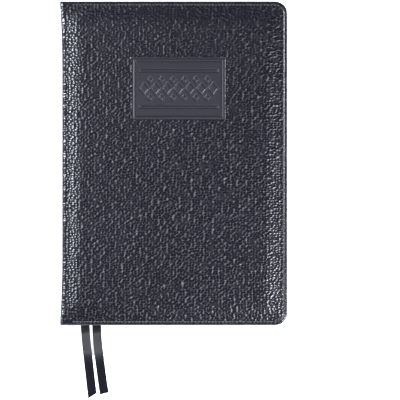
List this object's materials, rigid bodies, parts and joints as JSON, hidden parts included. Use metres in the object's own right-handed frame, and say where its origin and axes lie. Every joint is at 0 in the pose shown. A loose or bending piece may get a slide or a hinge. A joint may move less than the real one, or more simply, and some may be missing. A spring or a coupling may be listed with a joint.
{
  "type": "prayer book",
  "caption": "Closed padded leather-covered hardback with rounded fore-edge corners, blackened page edges, a blind-tooled panel and two ribbon markers.",
  "frame": {"origin": "middle of the back cover's outer face, on which the closed book lies", "axes": "+X from the spine to the fore-edge, +Y from the tail to the head, +Z from the back cover to the front cover"},
  "size_m": [0.15, 0.263, 0.0241],
  "materials": {
    "leather": "padded, pebbled, semi-gloss black with a slight blue cast",
    "foam": "soft open foam",
    "greyboard": "matt grey bookbinding board",
    "thread_black": "waxed black thread",
    "endpaper": "matt black endpaper",
    "paper": "matt cream book paper with blackened edges",
    "mull": "open woven cotton",
    "tape": "woven linen tape",
    "thread_white": "linen thread",
    "band": "black corded cloth",
    "ribbon": "black satin"
  },
  "bodies": {
    "back_cover": {"back_board": "greyboard", "back_padding": "foam", "back_leather": "leather", "back_stitching": "thread_black", "back_pastedown": "endpaper"},
    "book_block": {"back_flyleaf": "endpaper", "section_07": "paper", "section_08": "paper", "section_09": "paper", "section_10": "paper", "section_11": "paper", "section_12": "paper", "spine_card": "greyboard", "spine_leather": "leather", "spine_lining": "paper", "mull": "mull", "sewing_tapes": "tape", "sewing_thread": "thread_white", "head_band": "band", "tail_band": "band", "ribbon_left": "ribbon", "ribbon_right": "ribbon"},
    "front_cover": {"front_board": "greyboard", "front_padding": "foam", "front_leather": "leather", "front_stitching": "thread_black", "front_pastedown": "endpaper"},
    "first_leaf": {"front_flyleaf": "endpaper"},
    "section_01_leaves": {"section_01": "paper"},
    "section_02_leaves": {"section_02": "paper"},
    "section_03_leaves": {"section_03": "paper"},
    "section_04_leaves": {"section_04": "paper"},
    "section_05_leaves": {"section_05": "paper"},
    "section_06_leaves": {"section_06": "paper"}
  },
  "joints": [
    {"name": "back_hinge", "type": "hinge", "parent": "back_cover", "child": "book_block", "pos_m": [-0.0753, 0, 0], "axis": [0, 1, 0], "range_deg": [-90, 0]},
    {"name": "front_hinge", "type": "hinge", "parent": "book_block", "child": "front_cover", "pos_m": [-0.0753, 0, 0.01999], "axis": [0, -1, 0], "range_deg": [0, 186]},
    {"name": "first_leaf_turn", "type": "hinge", "parent": "book_block", "child": "first_leaf", "pos_m": [-0.0732, 0, 0.01999], "axis": [0, -1, 0], "range_deg": [0, 179.5]},
    {"name": "section_01_turn", "type": "hinge", "parent": "book_block", "child": "section_01_leaves", "pos_m": [-0.0732, 0, 0.01999], "axis": [0, -1, 0], "range_deg": [0, 176.8]},
    {"name": "section_02_turn", "type": "hinge", "parent": "book_block", "child": "section_02_leaves", "pos_m": [-0.0732, 0, 0.01999], "axis": [0, -1, 0], "range_deg": [0, 173]},
    {"name": "section_03_turn", "type": "hinge", "parent": "book_block", "child": "section_03_leaves", "pos_m": [-0.0732, 0, 0.01999], "axis": [0, -1, 0], "range_deg": [0, 167.5]},
    {"name": "section_04_turn", "type": "hinge", "parent": "book_block", "child": "section_04_leaves", "pos_m": [-0.0732, 0, 0.01999], "axis": [0, -1, 0], "range_deg": [0, 160]},
    {"name": "section_05_turn", "type": "hinge", "parent": "book_block", "child": "section_05_leaves", "pos_m": [-0.0732, 0, 0.01999], "axis": [0, -1, 0], "range_deg": [0, 148.9]},
    {"name": "section_06_turn", "type": "hinge", "parent": "book_block", "child": "section_06_leaves", "pos_m": [-0.0732, 0, 0.01999], "axis": [0, -1, 0], "range_deg": [0, 130.2]}
  ],
  "couplings": [
    {"joint": "first_leaf_turn", "follows": "front_hinge", "ratio": 0.965},
    {"joint": "section_01_turn", "follows": "front_hinge", "ratio": 0.95},
    {"joint": "section_02_turn", "follows": "front_hinge", "ratio": 0.93},
    {"joint": "section_03_turn", "follows": "front_hinge", "ratio": 0.9},
    {"joint": "section_04_turn", "follows": "front_hinge", "ratio": 0.86},
    {"joint": "section_05_turn", "follows": "front_hinge", "ratio": 0.8},
    {"joint": "section_06_turn", "follows": "front_hinge", "ratio": 0.7}
  ]
}
